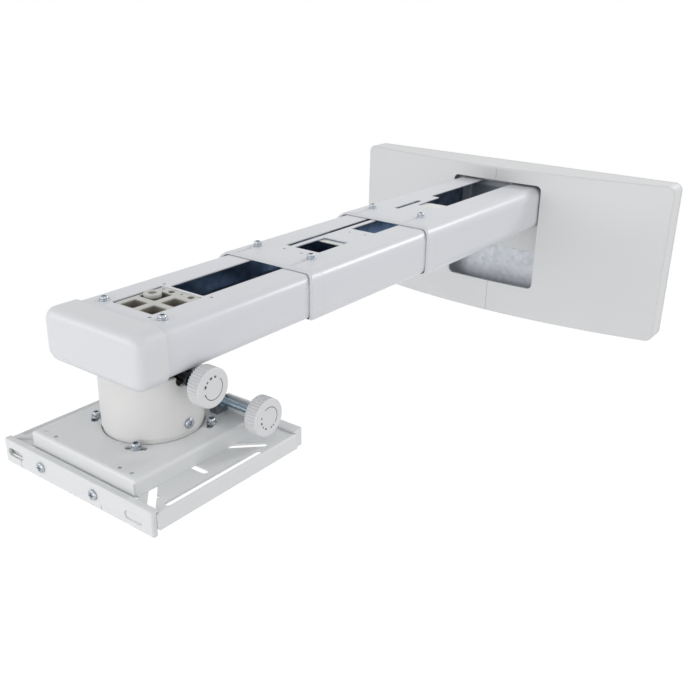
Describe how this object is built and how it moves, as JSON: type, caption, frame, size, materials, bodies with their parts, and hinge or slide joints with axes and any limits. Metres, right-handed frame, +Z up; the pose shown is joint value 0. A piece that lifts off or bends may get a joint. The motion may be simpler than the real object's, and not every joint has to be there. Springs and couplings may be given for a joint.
{
  "type": "projector wall mount",
  "caption": "Telescoping wall arm with a tilting, swivelling head and slotted plate that holds a short-throw projector out from the wall.",
  "frame": {"origin": "centre of the wall bolt pattern on the back face of the wall plate", "axes": "+Z up, +Y into the wall, the arm reaches out along -Y, +X to the right seen from the projector end"},
  "size_m": [0.3992, 0.6672, 0.1801],
  "materials": {
    "galvanised_sheet": "galvanised sheet steel",
    "cover_plastic": "fine moulded texture",
    "white_steel": "satin white powder coat",
    "collar_plastic": "satin moulded",
    "knob_plastic": "satin moulded",
    "cast_aluminium": "painted die casting",
    "zinc_steel": "bright zinc plating",
    "dark_zinc": "dark passivated zinc",
    "glide_plastic": "acetal"
  },
  "bodies": {
    "wall": {"wall_plate": "galvanised_sheet", "cover_left": "cover_plastic", "cover_right": "cover_plastic", "cover_screws": "zinc_steel"},
    "lift": {"carriage": "white_steel", "carriage_bolts": "zinc_steel", "outer_tube": "white_steel", "outer_collar": "collar_plastic", "middle_clamp_screws": "zinc_steel"},
    "middle": {"middle_tube": "white_steel", "middle_collar": "collar_plastic", "middle_glides": "glide_plastic", "inner_clamp_screws": "zinc_steel"},
    "inner": {"inner_tube": "white_steel", "inner_glides": "glide_plastic", "end_cap": "cover_plastic", "head_core": "cast_aluminium", "core_screws": "zinc_steel"},
    "tilt_drive": {"tilt_knob": "knob_plastic", "tilt_shaft": "dark_zinc"},
    "tilt_head": {"column": "cast_aluminium", "pivot_bolts": "zinc_steel", "swivel_bolts": "zinc_steel"},
    "swivel": {"swivel_plate": "white_steel", "standoffs": "zinc_steel", "adapter_plate": "white_steel", "adapter_screws": "zinc_steel", "front_rail": "white_steel", "rear_rail": "white_steel", "rail_screws": "zinc_steel", "rod_block": "dark_zinc"},
    "yaw_drive": {"yaw_rod": "zinc_steel", "yaw_knob": "knob_plastic"},
    "yaw_slider": {"yaw_nut": "zinc_steel"}
  },
  "joints": [
    {"name": "height", "type": "slide", "parent": "wall", "child": "lift", "axis": [0, 0, 1], "range_m": [-0.07, 0]},
    {"name": "reach_outer", "type": "slide", "parent": "lift", "child": "middle", "axis": [0, 1, 0], "range_m": [-0.05, 0.12]},
    {"name": "reach_inner", "type": "slide", "parent": "middle", "child": "inner", "axis": [0, 1, 0], "range_m": [-0.05, 0.075]},
    {"name": "tilt", "type": "hinge", "parent": "inner", "child": "tilt_head", "pos_m": [0, -0.589, -0.0175], "axis": [1, 0, 0], "range_deg": [-5, 5]},
    {"name": "tilt_turn", "type": "hinge", "parent": "inner", "child": "tilt_drive", "pos_m": [0, -0.589, 0.0185], "axis": [1, 0, 0], "range_deg": [-46, 46]},
    {"name": "yaw", "type": "hinge", "parent": "tilt_head", "child": "swivel", "pos_m": [0, -0.589, -0.04], "axis": [0, 0, 1], "range_deg": [-6, 6]},
    {"name": "yaw_turn", "type": "hinge", "parent": "swivel", "child": "yaw_drive", "pos_m": [0, -0.5465, -0.0172], "axis": [1, 0, 0], "range_deg": [-1603, 1603]},
    {"name": "yaw_travel", "type": "slide", "parent": "swivel", "child": "yaw_slider", "axis": [1, 0, 0], "range_m": [-0.0046, 0.0046]}
  ],
  "couplings": [
    {"joint": "tilt_turn", "follows": "tilt", "ratio": -8.863},
    {"joint": "yaw_travel", "follows": "yaw", "m_per_rad": 0.0425},
    {"joint": "yaw_turn", "follows": "yaw", "ratio": 267.04}
  ]
}
